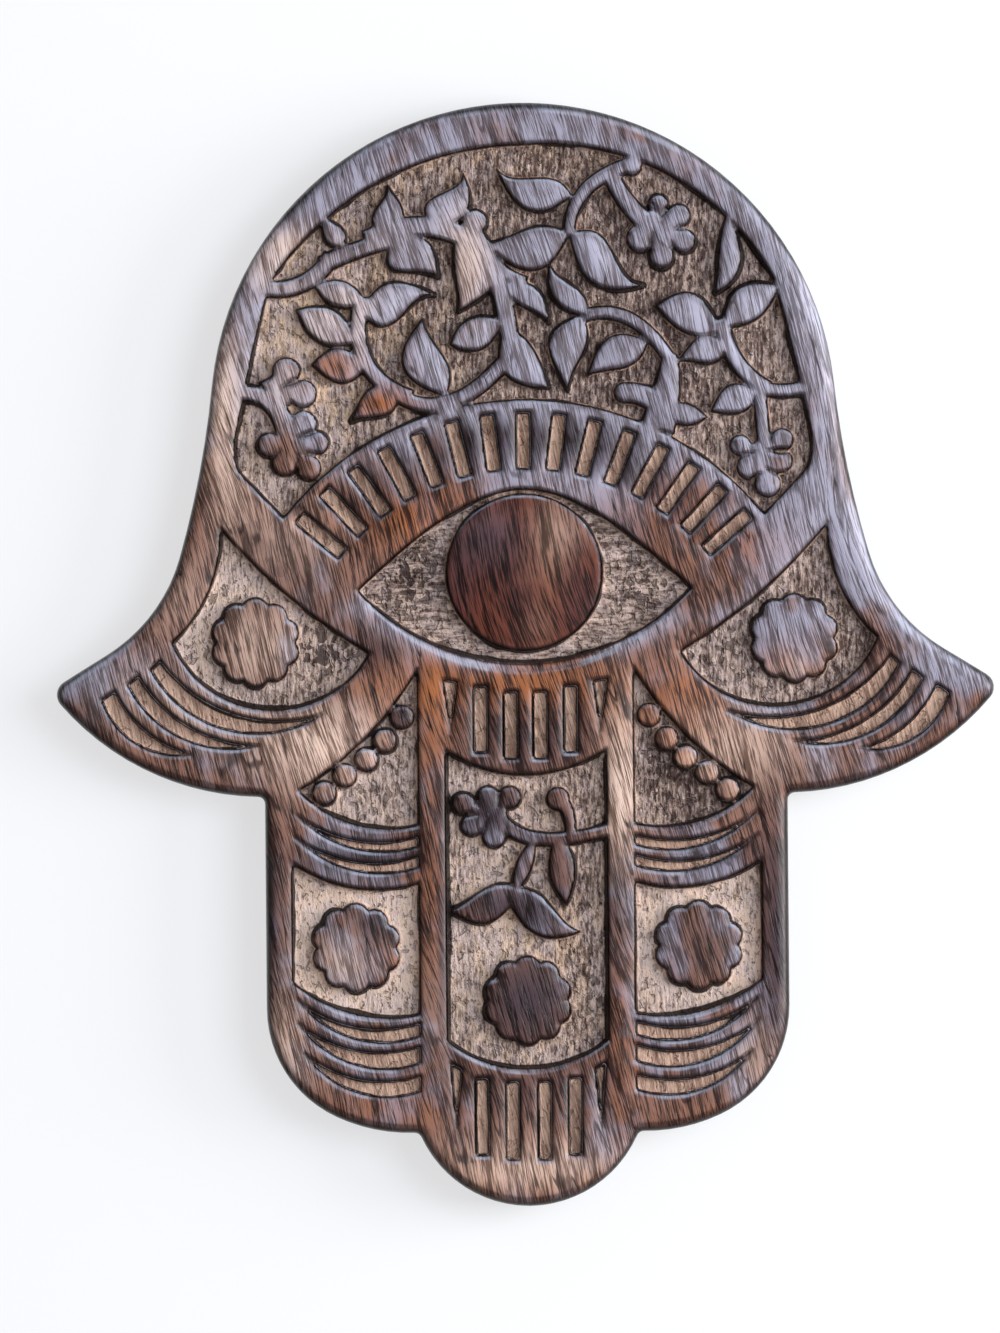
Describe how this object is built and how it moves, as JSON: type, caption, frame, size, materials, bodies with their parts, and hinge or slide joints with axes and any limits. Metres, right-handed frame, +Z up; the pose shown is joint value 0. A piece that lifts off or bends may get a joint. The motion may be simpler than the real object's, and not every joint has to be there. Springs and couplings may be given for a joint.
{
  "type": "hamsa hand wall ornament",
  "caption": "Carved wooden hamsa hand plaque with an open eye, vine field and rosettes, hung by a hinged wire ring let into its flat back.",
  "frame": {"origin": "on the flat back of the board, behind the middle of the eye", "axes": "+X to the right as seen from the front, +Z up towards the dome, +Y out of the back towards the wall; the carved front faces -Y"},
  "size_m": [0.2158, 0.015, 0.2541],
  "materials": {
    "stained_wood": "stained brown, burnt dark at the edges, satin",
    "plated_strap": "zinc plated sheet",
    "plated_wire": "zinc plated wire",
    "plated_screws": "zinc plated"
  },
  "bodies": {
    "plaque": {"carved_board": "stained_wood", "hanger_strap": "plated_strap", "strap_screws": "plated_screws"},
    "ring": {"hanger_ring": "plated_wire"}
  },
  "joints": [
    {"name": "ring_swing", "type": "hinge", "parent": "plaque", "child": "ring", "pos_m": [0, -0.00272, 0.079], "axis": [1, 0, 0], "range_deg": [0, 180]}
  ]
}
